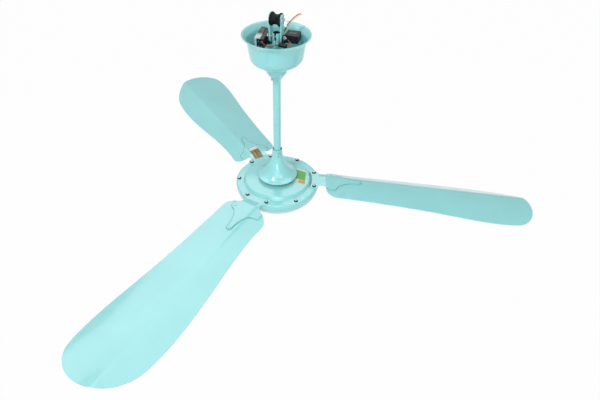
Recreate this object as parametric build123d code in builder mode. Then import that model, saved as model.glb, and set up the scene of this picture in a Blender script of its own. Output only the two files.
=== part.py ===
"""Three blade ceiling fan with its hanger, canopies, motor and blades, in millimetres.

The origin is the point under the waist of the hanger roller where a ceiling hook bears.
+Z points up to the ceiling, and everything hangs below along the Z axis.
"""
import os
from math import cos, degrees, pi, radians, sin, tan

from build123d import *

os.makedirs("parts", exist_ok=True)

# Hanger: rubber roller between two flat straps
roller_r = 15.2
roller_waist_r = 11.0
roller_length = 24.6
roller_lip = 3.2
roller_bolt_r = 3.0
roller_head_height = 1.4
running_gap = 0.08
strap_width = 16.0
strap_thickness = 3.0
strap_end_margin = 13.0
strap_end_gap = 0.4
strap_side_gap = 0.2
hanger_turn = -24.0
roller_nut_r = 5.8
roller_nut_height = 3.0
roller_nut_turn = 12.0
roller_bolt_end = 1.2
spacer_r = 5.0

# Down rod
rod_r = 9.5
rod_wall = 2.5
rod_length = 378.0
rod_top_drop = 19.0
rod_bolt_r = 2.5
rod_bolt_drop = 11.0
rod_nut_r = 5.2
rod_nut_height = 4.4
rod_nut_turn = 20.0
bolt_end = 3.0
hole_gap = 0.1
wire_slot_width = 4.0
wire_slot_length = 24.0
wire_slot_angle = -108.0

# Folded plate under the straps, with what it carries
plate_thickness = 2.0
plate_ear_width = 16.0
plate_back = 30.0
plate_rod_gap = 0.5
capacitor_size = (31.5, 30.5, 17.0)
capacitor_place = (37.7, 12.5)
capacitor_turn = -16.5
capacitor_corner_r = 1.5
pad_inset = 2.0
block_corner = (-44.5, -11.0)
block_turn = -18.0
block_width = 16.0
block_depth = 47.0
block_height = 23.0
block_rise = 7.0
block_drop = 52.0
block_tab_start = 14.0
block_tab_length = 20.0
block_tab_height = 9.0
block_arm = 10.0
cover_side = 5.0
cover_top = 1.6
cover_reach = 8.0
terminal_r = 1.9
terminal_height = 0.8
terminal_pitch = (7.0, 10.5)
terminal_pocket = 0.6
seat_gap = 0.1

# Upper canopy, a bowl with a turned rim and a small cup round the rod
canopy_rim_r = 79.6
canopy_mouth_r = 67.2
canopy_floor_r = 60.3
canopy_cup_r = 24.0
canopy_wall = 1.2
canopy_rim_drop = 23.1
canopy_lip_depth = 12.0
canopy_depth = 60.5
canopy_cup_top = 80.0
canopy_cup_bottom = 92.0
canopy_height = 113.0
canopy_neck = 3.0
canopy_rim_flat = 3.6
canopy_cup_taper = 1.2
canopy_fillets = [3.0, 10.0, 20.0, 6.0, 8.0, 1.5]
canopy_screw_angle = -140.0
canopy_screw_drop = 107.5
canopy_screw_r = 2.0
canopy_screw_head_r = 2.8
canopy_screw_head_height = 1.6
canopy_screw_reach = 15.0
slide_gap = 0.5

# Lower canopy, a bell over the rod coupling
bell_neck_r = 12.9
bell_rim_r = 52.3
bell_height = 82.0
bell_neck_height = 8.0
bell_flare_r = 88.0
bell_flare_angle = 49.0
bell_wall = 1.2
bell_hem = 2.0
bell_gap = 20.3
bell_neck_taper = 0.3
bell_screw_angle = -76.0
bell_screw_drop = 6.5
bell_screw_r = 2.0
bell_screw_head_r = 3.2
bell_screw_head_height = 2.0
keyhole_drop = 11.0
keyhole_length = 5.0
keyhole_width = 2.0

# Rod coupling on the motor shaft
motor_drop = 40.0
coupling_r = 13.0
coupling_height = 42.0
coupling_socket = 28.0
coupling_bolt_r = 2.5
coupling_bolt_lift = 10.0
pin_space = 4.4
coupling_nut_height = 3.4
pin_r = 1.0
pin_length = 7.0
grub_r = 2.5
grub_lift = 7.0

# Motor shaft
shaft_r = 8.5
shaft_lower_r = 7.5
shaft_core_r = 12.0
shaft_bore_r = 4.5
shaft_top = 38.0
shaft_bottom = -47.0
shaft_bore_bottom = -15.0
fit_gap = 0.05

# Ball bearings, balls on the middle circle of their races
upper_bearing_r = 20.0
upper_bearing_width = 12.0
upper_bearing_bottom = -6.0
lower_bearing_r = 17.5
lower_bearing_width = 10.0
lower_bearing_bottom = -44.0
race_share = 0.39
ball_share = 0.295
ball_gap = 0.05
ball_count = 7

# Stator and rotor
stator_r = 80.0
stator_height = 22.0
stator_bottom = -33.0
stator_slots = 12
slot_inner_r = 40.0
slot_outer_r = 73.0
slot_width = 15.0
slot_mouth = 3.0
air_gap = 0.5
winding_gap = 0.3
winding_height = 8.0
winding_inner_r = 36.0
winding_outer_r = 77.0
winding_round = 3.0
rotor_ring_r = 100.0
rotor_ring_height = 24.0
rotor_ring_bottom = -34.0

# Motor covers, a stepped top and a bowl below
cover_r = 112.0
cover_dome_r = 86.0
cover_dome_rise = 13.6
cover_step_r = 91.5
cover_step_rise = 9.2
cover_edge_r = 5.0
cover_wall = 2.5
cover_skirt = 8.0
cover_hole_r = 11.5
boss_wall = 4.0
race_lip = 3.0
lower_cover_height = 43.0
lower_cover_waist_r = 108.5
lower_cover_floor_r = 96.0
lower_cover_flat_r = 24.0
lower_cover_foot_r = 60.0
lower_cover_wall = 4.5
cover_ledge = 8.0
bowl_rise = (2.0, 9.0, 25.0, 40.0)
bowl_fillets = [30.0, 30.0, 12.0, 30.0, 2.0]

# Screws round the cover
screw_circle_r = 104.0
screw_r = 2.4
screw_head_r = 4.0
screw_head_height = 3.2
screw_length = 16.0
washer_r = 5.3
washer_thickness = 1.0
screw_gap = 0.1
pair_angle = 16.43

# Blades, arched along the front and folded down along the back
blade_count = 3
first_blade_angle = -122.85
blade_droops = (4.4, 6.2, 3.9)
blade_lift = 3.5
blade_hinge_r = 112.0
blade_tip_r = 704.0
blade_root_gap = 20.0
blade_root_corner = 31.0
blade_thickness = 1.5
blade_front_edge = [(138.0, -70.5), (298.0, -84.5)]
blade_back_edge = (218.0, 64.0)
blade_front_root = 65.0
blade_back_root = 57.5
blade_tip_curve = [
    (76.0, -101.0),
    (42.0, -95.0),
    (13.0, -69.0),
    (0.0, -20.0),
    (10.5, 18.0),
    (29.0, 38.5),
    (55.0, 55.0),
    (86.0, 66.0),
    (118.0, 70.5),
]
blade_crease = 11.4
blade_crease_r = 25.0
blade_fold = 26.9
blade_camber_r = 538.0
blade_root_pitch = 0.8
blade_tip_pitch = 4.4
blade_back_reach = 75.0

# Blade irons, pressed to the same section as the blades
iron_thickness = 2.5
iron_gap = 0.15
iron_inner_r = 92.6
iron_root_half = 37.0
iron_root_end = 26.0
iron_neck_half = 24.0
iron_neck = (18.0, 5.0)
iron_wing_half = 41.0
iron_wing = (7.0, 25.0)
iron_flank = [(32.0, 27.0), (58.0, 11.5)]
iron_length = 97.0
iron_tip_lobe = 7.5
iron_corner = 6.0
iron_bend_gap = 1.0
iron_front_reach = 61.0
iron_back_reach = 40.0
flat_r = 10000.0
flat_fold = 0.2
rivet_r = 2.5
rivet_head_r = 4.5
rivet_head_height = 1.4
rivet_places = [(17.0, -33.0), (17.0, 33.0), (89.0, 0.0)]

# Bush in the plate, and the wires, whose routes are chosen by hand
bush_place = (14.45, 13.8)
bush_r = 4.5
bush_neck_r = 3.4
bush_height = 3.0
lead_diameter = 2.2
brown_route = [
    (13.2, 14.1, -40.15),
    (14.4, 14.2, -32.0),
    (17.6, 14.8, -24.0),
    (22.3, 15.6, -14.5),
    (29.0, 16.8, -3.0),
    (38.0, 18.8, 6.6),
    (47.0, 21.8, 12.4),
    (50.8, 23.5, 13.6),
]
cream_route = [
    (15.7, 13.5, -40.15),
    (17.0, 13.6, -33.0),
    (20.1, 14.2, -25.5),
    (24.9, 15.0, -16.0),
    (31.7, 16.2, -4.5),
    (40.5, 18.2, 5.1),
    (49.5, 21.2, 10.9),
    (52.8, 22.9, 12.1),
]
wire_diameter = 2.0
splice_place = (14.2, -21.2, -40.5)
splice_r = 5.0
splice_length = 20.0
red_route = [
    (-31.1, -15.8, -33.5),
    (-31.9, -18.6, -34.3),
    (-28.2, -20.6, -38.2),
    (-21.0, -20.0, -43.0),
    (-12.5, -17.6, -46.0),
    (-2.8, -14.0, -43.8),
    (4.7, -16.9, -42.2),
]
white_route = [
    (-1.5, -4.7, -44.0),
    (-1.5, -4.7, -38.0),
    (-3.4, -8.6, -35.6),
    (-5.0, -12.0, -37.2),
    (-1.0, -13.4, -38.7),
    (4.7, -17.0, -38.9),
]
copper_route = [
    (26.2, -0.65, -36.0),
    (26.2, -3.6, -36.6),
    (29.6, -9.0, -38.0),
    (32.6, -15.5, -39.4),
    (32.2, -23.5, -40.2),
    (28.2, -27.0, -40.5),
    (23.8, -25.5, -40.5),
]
motor_lead_r = 1.6
motor_lead_rod_offset = 4.9
motor_lead_shaft_offset = 2.6
motor_lead_bend = 6.0
motor_lead_exit = -9.2
bend_share = 0.45

# Levels and places that follow from the driving sizes
flange_z = -(rod_top_drop + rod_length + motor_drop)
rod_top = -rod_top_drop
rod_bottom = rod_top - rod_length
roller_z = roller_waist_r
bolt_z = rod_top - rod_bolt_drop
strap_top = roller_z + strap_end_margin
strap_bottom = bolt_z - strap_end_margin
strap_inner = roller_length / 2 + strap_side_gap
strap_outer = strap_inner + strap_thickness
ear_inner = strap_outer + seat_gap
ear_outer = ear_inner + plate_thickness
plate_top = strap_bottom - strap_end_gap
plate_bottom = plate_top - plate_thickness
canopy_rim_z = -canopy_rim_drop
coupling_top = rod_bottom + coupling_socket - (motor_drop - shaft_top)
coupling_bottom = coupling_top - coupling_height
grub_z = coupling_bottom + grub_lift
bell_top = flange_z + bell_gap + bell_height
bell_screw_z = bell_top - bell_screw_drop
coupling_bolt_z = rod_bottom + coupling_bolt_lift
shaft_tip = flange_z + shaft_top
blade_root_r = cover_r + blade_root_gap
iron_bend_r = cover_r + iron_bend_gap
iron_tip_r = blade_root_r + iron_length
across = Vector(cos(radians(hanger_turn)), sin(radians(hanger_turn)), 0)
behind = Vector(-sin(radians(hanger_turn)), cos(radians(hanger_turn)), 0)
slot_way = Vector(cos(radians(wire_slot_angle)), sin(radians(wire_slot_angle)), 0)
bell_screw_way = Vector(cos(radians(bell_screw_angle)), sin(radians(bell_screw_angle)), 0)
bell_side = Vector(-bell_screw_way.Y, bell_screw_way.X, 0)
canopy_screw_way = Vector(cos(radians(canopy_screw_angle)), sin(radians(canopy_screw_angle)), 0)
canopy_screw_z = canopy_rim_z - canopy_screw_drop
screw_angles = []
for number in range(blade_count):
    blade_angle = first_blade_angle + number * 360 / blade_count
    screw_angles += [blade_angle - pair_angle, blade_angle + pair_angle, blade_angle + 180 / blade_count]


def across_plane(offset, height):
    """Plane facing along the hanger bolts, with its own x to the back and y up."""
    return Plane(origin=across * offset + Vector(0, 0, height), x_dir=behind, z_dir=across)


def turned_plane(place, height, angle):
    """Level plane at a place in plan, turned about the vertical."""
    facing = (cos(radians(angle)), sin(radians(angle)), 0)
    return Plane(origin=(place[0], place[1], height), x_dir=facing, z_dir=(0, 0, 1))


# Hanger roller, a rubber spool that a ceiling hook carries
with BuildPart() as hanger_roller:
    roller_plane = Plane(origin=(0, 0, roller_z), x_dir=across, z_dir=-behind)
    half_roller = roller_length / 2
    with BuildSketch(roller_plane) as roller_profile:
        with BuildLine():
            Polyline(
                (-half_roller + roller_lip, roller_r),
                (-half_roller, roller_r),
                (-half_roller, roller_bolt_r + running_gap),
                (half_roller, roller_bolt_r + running_gap),
                (half_roller, roller_r),
                (half_roller - roller_lip, roller_r),
            )
            ThreePointArc(
                (half_roller - roller_lip, roller_r),
                (0, roller_waist_r),
                (-half_roller + roller_lip, roller_r),
            )
        make_face()
        fillet(roller_profile.vertices().group_by(Axis.Y)[-1], roller_lip / 4)
    revolve(axis=Axis((0, 0, roller_z), across))
hanger_roller.part.label = "hanger_roller"
export_step(hanger_roller.part, "parts/hanger_roller.step")


# Two flat straps from the roller bolt down to the rod bolt
for name, strap_face in (("hanger_strap_left", -strap_outer), ("hanger_strap_right", strap_inner)):
    with BuildPart() as strap:
        strap_middle = (strap_top + strap_bottom) / 2
        with BuildSketch(across_plane(strap_face, strap_middle)):
            SlotOverall(strap_top - strap_bottom, strap_width, rotation=90)
            with Locations((0, roller_z - strap_middle)):
                Circle(roller_bolt_r + fit_gap, mode=Mode.SUBTRACT)
            with Locations((0, bolt_z - strap_middle)):
                Circle(rod_bolt_r + hole_gap, mode=Mode.SUBTRACT)
        extrude(amount=strap_thickness)
    strap.part.label = name
    export_step(strap.part, f"parts/{name}.step")


# Roller bolt with a hex head at the left, and its nut at the right
with BuildPart() as roller_bolt:
    with BuildSketch(across_plane(-strap_outer, roller_z)):
        RegularPolygon(roller_nut_r, 6)
    extrude(amount=-roller_head_height)
    with BuildSketch(across_plane(-strap_outer, roller_z)):
        Circle(roller_bolt_r)
    extrude(amount=2 * strap_outer + roller_nut_height + roller_bolt_end)
    chamfer(roller_bolt.faces().sort_by(Axis((0, 0, 0), across))[-1].edges(), roller_bolt_r / 8)
roller_bolt.part.label = "roller_bolt"
export_step(roller_bolt.part, "parts/roller_bolt.step")

with BuildPart() as roller_nut:
    with BuildSketch(across_plane(strap_outer, roller_z)):
        RegularPolygon(roller_nut_r, 6, rotation=roller_nut_turn)
        Circle(roller_bolt_r + fit_gap, mode=Mode.SUBTRACT)
    extrude(amount=roller_nut_height)
roller_nut.part.label = "roller_nut"
export_step(roller_nut.part, "parts/roller_nut.step")


# Bolt and nut that hold the rod between the straps, with a spacer at each side of the rod
with BuildPart() as rod_bolt:
    with BuildSketch(across_plane(-ear_outer, bolt_z)):
        RegularPolygon(rod_nut_r, 6)
    extrude(amount=-rod_nut_height)
    with BuildSketch(across_plane(-ear_outer, bolt_z)):
        Circle(rod_bolt_r)
    extrude(amount=2 * ear_outer + rod_nut_height + bolt_end)
rod_bolt.part.label = "rod_bolt"
export_step(rod_bolt.part, "parts/rod_bolt.step")

with BuildPart() as rod_nut:
    with BuildSketch(across_plane(ear_outer, bolt_z)):
        RegularPolygon(rod_nut_r, 6, rotation=rod_nut_turn)
        Circle(rod_bolt_r + fit_gap, mode=Mode.SUBTRACT)
    extrude(amount=rod_nut_height)
rod_nut.part.label = "rod_nut"
export_step(rod_nut.part, "parts/rod_nut.step")

with BuildPart() as strap_spacers:
    spacer_length = strap_inner - rod_r - 2 * seat_gap
    with BuildSketch(across_plane(-strap_inner + seat_gap, bolt_z)):
        Circle(spacer_r)
        Circle(rod_bolt_r + hole_gap, mode=Mode.SUBTRACT)
    extrude(amount=spacer_length)
    with BuildSketch(across_plane(strap_inner - seat_gap, bolt_z)):
        Circle(spacer_r)
        Circle(rod_bolt_r + hole_gap, mode=Mode.SUBTRACT)
    extrude(amount=-spacer_length)
strap_spacers.part.label = "strap_spacers"
export_step(strap_spacers.part, "parts/strap_spacers.step")


# Down rod, a tube with bolt holes at both ends and a slot for the motor wire
with BuildPart() as down_rod:
    with BuildSketch(Plane.XY.offset(rod_bottom)):
        Circle(rod_r)
        Circle(rod_r - rod_wall, mode=Mode.SUBTRACT)
    extrude(amount=rod_length)
    with BuildSketch(across_plane(0, bolt_z)):
        Circle(rod_bolt_r + hole_gap)
    extrude(amount=2 * rod_r, both=True, mode=Mode.SUBTRACT)
    with BuildSketch(Plane.YZ):
        with Locations((0, coupling_bolt_z)):
            Circle(coupling_bolt_r + hole_gap)
    extrude(amount=2 * rod_r, both=True, mode=Mode.SUBTRACT)
    slot_side = Vector(-slot_way.Y, slot_way.X, 0)
    with BuildSketch(Plane(origin=(0, 0, rod_top), x_dir=slot_side, z_dir=slot_way)):
        slot_straight = wire_slot_length - wire_slot_width / 2
        with Locations((0, -slot_straight / 2)):
            Rectangle(wire_slot_width, slot_straight)
        with Locations((0, -slot_straight)):
            Circle(wire_slot_width / 2)
    extrude(amount=2 * rod_r, mode=Mode.SUBTRACT)
down_rod.part.label = "down_rod"
export_step(down_rod.part, "parts/down_rod.step")


# Folded plate: base with a notch for the rod, an ear at each strap, a pad and a side tab
with BuildPart() as mounting_plate:
    plate_half = plate_ear_width / 2
    with BuildSketch(turned_plane((0, 0), plate_bottom, hanger_turn)):
        with Locations((0, (plate_back - plate_half) / 2)):
            Rectangle(2 * ear_outer, plate_back + plate_half)
    extrude(amount=plate_thickness)
    with BuildSketch(turned_plane(capacitor_place, plate_bottom, capacitor_turn)):
        Rectangle(capacitor_size[0] - 2 * pad_inset, capacitor_size[1] - 2 * pad_inset)
    extrude(amount=plate_thickness)
    with BuildSketch(turned_plane(block_corner, plate_bottom, block_turn)):
        with Locations((block_width + seat_gap, block_tab_start)):
            Rectangle(block_arm, block_tab_length, align=(Align.MIN, Align.MIN))
    extrude(amount=plate_thickness)
    with BuildSketch(turned_plane(block_corner, plate_bottom, block_turn)):
        with Locations((block_width + seat_gap, block_tab_start)):
            Rectangle(plate_thickness, block_tab_length, align=(Align.MIN, Align.MIN))
    extrude(amount=block_tab_height)
    for ear in (-ear_outer, ear_inner):
        with BuildSketch(across_plane(ear, bolt_z)):
            Circle(plate_half)
            with Locations((0, (plate_bottom - bolt_z) / 2)):
                Rectangle(plate_ear_width, bolt_z - plate_bottom)
            Circle(rod_bolt_r + hole_gap, mode=Mode.SUBTRACT)
        extrude(amount=plate_thickness)
    with BuildSketch(turned_plane((0, 0), plate_bottom, hanger_turn)):
        Circle(rod_r + plate_rod_gap)
        with Locations((0, -plate_ear_width)):
            Rectangle(2 * (rod_r + plate_rod_gap), 2 * plate_ear_width)
    extrude(amount=plate_thickness, mode=Mode.SUBTRACT)
    with BuildSketch(turned_plane(bush_place, plate_bottom, hanger_turn)):
        Circle(bush_neck_r)
    extrude(amount=plate_thickness, mode=Mode.SUBTRACT)
mounting_plate.part.label = "mounting_plate"
export_step(mounting_plate.part, "parts/mounting_plate.step")


# Capacitor in its moulded case, on the pad
with BuildPart() as capacitor:
    with BuildSketch(turned_plane(capacitor_place, plate_top, capacitor_turn)):
        RectangleRounded(capacitor_size[0], capacitor_size[1], capacitor_corner_r)
    extrude(amount=capacitor_size[2])
    chamfer(capacitor.faces().sort_by(Axis.Z)[-1].edges(), capacitor_corner_r / 3)
capacitor.part.label = "capacitor"
export_step(capacitor.part, "parts/capacitor.step")


# Terminal block with a sloping top, its screws and its cover
block_way = Vector(cos(radians(block_turn)), sin(radians(block_turn)), 0)
block_back = Vector(-block_way.Y, block_way.X, 0)
block_origin = Vector(block_corner[0], block_corner[1], -block_drop)


def block_side_plane(offset):
    """Plane on the side of the terminal block, with its own x to the back and y up."""
    return Plane(origin=block_origin + block_way * offset, x_dir=block_back, z_dir=block_way)


terminal_points = []
for column in (-0.5, 0.5):
    for row in (-0.5, 0.5):
        terminal_points.append((
            block_width / 2 + column * terminal_pitch[0],
            block_height / 2 + row * terminal_pitch[1],
        ))
block_front = Plane(origin=block_origin, x_dir=block_way, z_dir=-block_back)

with BuildPart() as terminal_block:
    with BuildSketch(block_side_plane(0)):
        with BuildLine():
            Polyline(
                (0, 0),
                (block_depth, 0),
                (block_depth, block_height + block_rise),
                (0, block_height),
                close=True,
            )
        make_face()
    extrude(amount=block_width)
    with BuildSketch(block_front):
        with Locations(*terminal_points):
            Circle(terminal_r + terminal_pocket)
    extrude(amount=-terminal_pocket, mode=Mode.SUBTRACT)
terminal_block.part.label = "terminal_block"
export_step(terminal_block.part, "parts/terminal_block.step")

with BuildPart() as terminal_screws:
    with BuildSketch(block_front.offset(-terminal_pocket)):
        with Locations(*terminal_points):
            Circle(terminal_r)
    extrude(amount=terminal_pocket + terminal_height)
    with BuildSketch(block_front.offset(terminal_height)):
        with Locations(*terminal_points):
            Rectangle(2 * terminal_r, terminal_r / 3)
    extrude(amount=-terminal_height / 2, mode=Mode.SUBTRACT)
terminal_screws.part.label = "terminal_screws"
export_step(terminal_screws.part, "parts/terminal_screws.step")

with BuildPart() as terminal_cover:
    with BuildSketch(block_side_plane(-cover_side)):
        with BuildLine():
            Polyline(
                (0, 0),
                (block_depth, 0),
                (block_depth, block_height + block_rise + seat_gap + cover_top),
                (0, block_height + seat_gap + cover_top),
                close=True,
            )
        make_face()
    extrude(amount=cover_side - seat_gap)
    with BuildSketch(block_side_plane(-cover_side)):
        with BuildLine():
            Polyline(
                (0, block_height + seat_gap),
                (block_depth, block_height + block_rise + seat_gap),
                (block_depth, block_height + block_rise + seat_gap + cover_top),
                (0, block_height + seat_gap + cover_top),
                close=True,
            )
        make_face()
    extrude(amount=cover_side + cover_reach)
terminal_cover.part.label = "terminal_cover"
export_step(terminal_cover.part, "parts/terminal_cover.step")


# Bush through the plate for the supply lead
with BuildPart() as lead_bush:
    with BuildSketch(turned_plane(bush_place, plate_bottom, hanger_turn)):
        Circle(bush_neck_r - fit_gap)
    extrude(amount=plate_thickness)
    with BuildSketch(turned_plane(bush_place, plate_top, hanger_turn)):
        Circle(bush_r)
    extrude(amount=bush_height)
lead_bush.part.label = "lead_bush"
export_step(lead_bush.part, "parts/lead_bush.step")


def bend_radii(route):
    """Radius of the arc at each inner point, from its two runs and its turn."""
    radii = []
    for before, corner, after in zip(route, route[1:], route[2:]):
        run_in = Vector(*corner) - Vector(*before)
        run_out = Vector(*after) - Vector(*corner)
        turn = radians(run_in.get_angle(run_out))
        radii.append(bend_share * min(run_in.length, run_out.length) / tan(turn / 2))
    return radii


# Supply lead of two cores, and the short wires below the straps
wires = (
    ("supply_lead_brown", brown_route, lead_diameter),
    ("supply_lead_cream", cream_route, lead_diameter),
    ("wire_red", red_route, wire_diameter),
    ("wire_white", white_route, wire_diameter),
    ("wire_copper", copper_route, wire_diameter),
)
for name, route, diameter in wires:
    with BuildPart() as wire:
        with BuildLine() as wire_path:
            FilletPolyline(*route, radius=bend_radii(route))
        centre_line = wire_path.wires()[0]
        with BuildSketch(Plane(origin=centre_line @ 0, z_dir=centre_line % 0)):
            Circle(diameter / 2)
        sweep(path=centre_line)
    wire_section = pi * (diameter / 2) ** 2
    print(name, "radii", [round(radius, 1) for radius in bend_radii(route)])
    print(name, "volume", round(wire.part.volume, 2), "of", round(wire_section * centre_line.length, 2))
    wire.part.label = name
    export_step(wire.part, f"parts/{name}.step")

with BuildPart() as wire_splice:
    splice_plane = Plane(origin=splice_place, x_dir=behind, z_dir=across)
    with BuildSketch(splice_plane):
        Circle(splice_r)
    extrude(amount=splice_length / 2, both=True)
    chamfer(wire_splice.edges().filter_by(GeomType.CIRCLE), splice_r / 6)
wire_splice.part.label = "wire_splice"
export_step(wire_splice.part, "parts/wire_splice.step")


# Upper canopy, a spun bowl with a turned rim, a cup and a neck round the rod
def set_screw(place_angle, height, inner, outer, thread_r, head_r, head_height):
    """Pan head screw that points at the rod axis."""
    facing = Vector(cos(radians(place_angle)), sin(radians(place_angle)), 0)
    with BuildPart() as screw:
        with BuildSketch(Plane(origin=facing * inner + Vector(0, 0, height), z_dir=facing)):
            Circle(thread_r)
        extrude(amount=outer - inner)
        with BuildSketch(Plane(origin=facing * outer + Vector(0, 0, height), z_dir=facing)):
            Circle(head_r)
        extrude(amount=head_height)
        head_edges = screw.faces().sort_by(Axis((0, 0, 0), facing))[-1].edges()
        fillet(head_edges, head_height / 3)
    return screw


with BuildPart() as upper_canopy:
    with BuildSketch(Plane.XZ) as canopy_profile:
        with BuildLine() as canopy_line:
            FilletPolyline(
                (canopy_rim_r, canopy_rim_z),
                (canopy_rim_r - canopy_rim_flat, canopy_rim_z),
                (canopy_mouth_r, canopy_rim_z - canopy_lip_depth),
                (canopy_floor_r, canopy_rim_z - canopy_depth),
                (canopy_cup_r, canopy_rim_z - canopy_cup_top),
                (canopy_cup_r - canopy_cup_taper, canopy_rim_z - canopy_cup_bottom),
                (rod_r + slide_gap, canopy_rim_z - canopy_height + canopy_neck),
                (rod_r + slide_gap, canopy_rim_z - canopy_height),
                radius=canopy_fillets,
            )
            offset(amount=canopy_wall, side=Side.LEFT)
        make_face()
    revolve(axis=Axis.Z)
    with BuildSketch(Plane(origin=(0, 0, canopy_screw_z), z_dir=canopy_screw_way)):
        Circle(canopy_screw_r + hole_gap)
    extrude(amount=2 * rod_r, mode=Mode.SUBTRACT)
upper_canopy.part.label = "upper_canopy"
export_step(upper_canopy.part, "parts/upper_canopy.step")

upper_canopy_screw = set_screw(
    canopy_screw_angle, canopy_screw_z, rod_r + seat_gap, canopy_screw_reach,
    canopy_screw_r, canopy_screw_head_r, canopy_screw_head_height,
)
upper_canopy_screw.part.label = "upper_canopy_screw"
export_step(upper_canopy_screw.part, "parts/upper_canopy_screw.step")


# Lower canopy, a bell that slides on the rod, with a keyhole under its screw
with BuildPart() as lower_canopy:
    with BuildSketch(Plane.XZ) as bell_profile:
        with BuildLine() as bell_line:
            neck_end = (bell_neck_r + bell_neck_taper, bell_top - bell_neck_height)
            neck = Line((bell_neck_r, bell_top), neck_end)
            flare = JernArc(neck @ 1, (0, -1), bell_flare_r, bell_flare_angle)
            skirt = Line(flare @ 1, (bell_rim_r, bell_top - bell_height + bell_hem))
            Line(skirt @ 1, (bell_rim_r, bell_top - bell_height))
            offset(amount=bell_wall, side=Side.RIGHT)
        make_face()
    revolve(axis=Axis.Z)
    with BuildSketch(Plane(origin=(0, 0, bell_screw_z), z_dir=bell_screw_way)):
        Circle(bell_screw_r + hole_gap)
    extrude(amount=2 * bell_neck_r, mode=Mode.SUBTRACT)
    keyhole_centre = (0, 0, bell_screw_z - keyhole_drop)
    with BuildSketch(Plane(origin=keyhole_centre, x_dir=bell_side, z_dir=bell_screw_way)):
        SlotOverall(keyhole_length, keyhole_width, rotation=90)
    extrude(amount=2 * bell_neck_r, mode=Mode.SUBTRACT)
lower_canopy.part.label = "lower_canopy"
export_step(lower_canopy.part, "parts/lower_canopy.step")

lower_canopy_screw = set_screw(
    bell_screw_angle, bell_screw_z, rod_r + seat_gap, bell_neck_r + bell_neck_taper + seat_gap,
    bell_screw_r, bell_screw_head_r, bell_screw_head_height,
)
lower_canopy_screw.part.label = "lower_canopy_screw"
export_step(lower_canopy_screw.part, "parts/lower_canopy_screw.step")


# Coupling that joins the rod to the motor shaft, with its cross bolt, nut, split pin and grub screw
with BuildPart() as rod_coupling:
    with BuildSketch(Plane.XY.offset(coupling_bottom)):
        Circle(coupling_r)
        Circle(shaft_r + fit_gap, mode=Mode.SUBTRACT)
    extrude(amount=coupling_height)
    with BuildSketch(Plane.XY.offset(coupling_top)):
        Circle(rod_r + fit_gap)
    extrude(amount=-coupling_socket, mode=Mode.SUBTRACT)
    chamfer(rod_coupling.faces().sort_by(Axis.Z)[-1].edges(), coupling_r / 20)
    with BuildSketch(Plane.YZ):
        with Locations((0, coupling_bolt_z)):
            Circle(coupling_bolt_r + hole_gap)
    extrude(amount=2 * coupling_r, both=True, mode=Mode.SUBTRACT)
    with BuildSketch(Plane.XZ):
        with Locations((0, grub_z)):
            Circle(grub_r + fit_gap)
    extrude(amount=2 * coupling_r, mode=Mode.SUBTRACT)
rod_coupling.part.label = "rod_coupling"
export_step(rod_coupling.part, "parts/rod_coupling.step")

bolt_reach = coupling_r + seat_gap
with BuildPart() as coupling_bolt:
    with BuildSketch(Plane.YZ.offset(-bolt_reach)):
        with Locations((0, coupling_bolt_z)):
            RegularPolygon(rod_nut_r, 6)
    extrude(amount=-coupling_nut_height)
    with BuildSketch(Plane.YZ.offset(-bolt_reach)):
        with Locations((0, coupling_bolt_z)):
            Circle(coupling_bolt_r)
    extrude(amount=2 * bolt_reach + coupling_nut_height + pin_space)
    with BuildSketch(Plane.XY.offset(coupling_bolt_z)):
        with Locations((bolt_reach + coupling_nut_height + pin_space / 2, 0)):
            Circle(pin_r + fit_gap)
    extrude(amount=2 * coupling_bolt_r, both=True, mode=Mode.SUBTRACT)
coupling_bolt.part.label = "coupling_bolt"
export_step(coupling_bolt.part, "parts/coupling_bolt.step")

with BuildPart() as coupling_nut:
    with BuildSketch(Plane.YZ.offset(bolt_reach)):
        with Locations((0, coupling_bolt_z)):
            RegularPolygon(rod_nut_r, 6)
            Circle(coupling_bolt_r + fit_gap, mode=Mode.SUBTRACT)
    extrude(amount=coupling_nut_height)
coupling_nut.part.label = "coupling_nut"
export_step(coupling_nut.part, "parts/coupling_nut.step")

with BuildPart() as coupling_split_pin:
    pin_x = bolt_reach + coupling_nut_height + pin_space / 2
    with BuildSketch(Plane.XY.offset(coupling_bolt_z - pin_length / 2)):
        with Locations((pin_x, 0)):
            Circle(pin_r)
    extrude(amount=pin_length)
    pin_eye = Plane(origin=(pin_x, 0, coupling_bolt_z - pin_length / 2 - pin_r), z_dir=(0, 1, 0))
    with BuildSketch(pin_eye):
        Circle(2 * pin_r)
        Circle(pin_r, mode=Mode.SUBTRACT)
    extrude(amount=pin_r / 2, both=True)
coupling_split_pin.part.label = "coupling_split_pin"
export_step(coupling_split_pin.part, "parts/coupling_split_pin.step")

with BuildPart() as coupling_grub_screw:
    with BuildSketch(Plane.XZ.offset(shaft_r + seat_gap)):
        with Locations((0, grub_z)):
            Circle(grub_r)
    extrude(amount=coupling_r - shaft_r - seat_gap)
    with BuildSketch(Plane.XZ.offset(coupling_r)):
        with Locations((0, grub_z)):
            RegularPolygon(grub_r / 2, 6)
    extrude(amount=-grub_r / 2, mode=Mode.SUBTRACT)
coupling_grub_screw.part.label = "coupling_grub_screw"
export_step(coupling_grub_screw.part, "parts/coupling_grub_screw.step")


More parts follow.
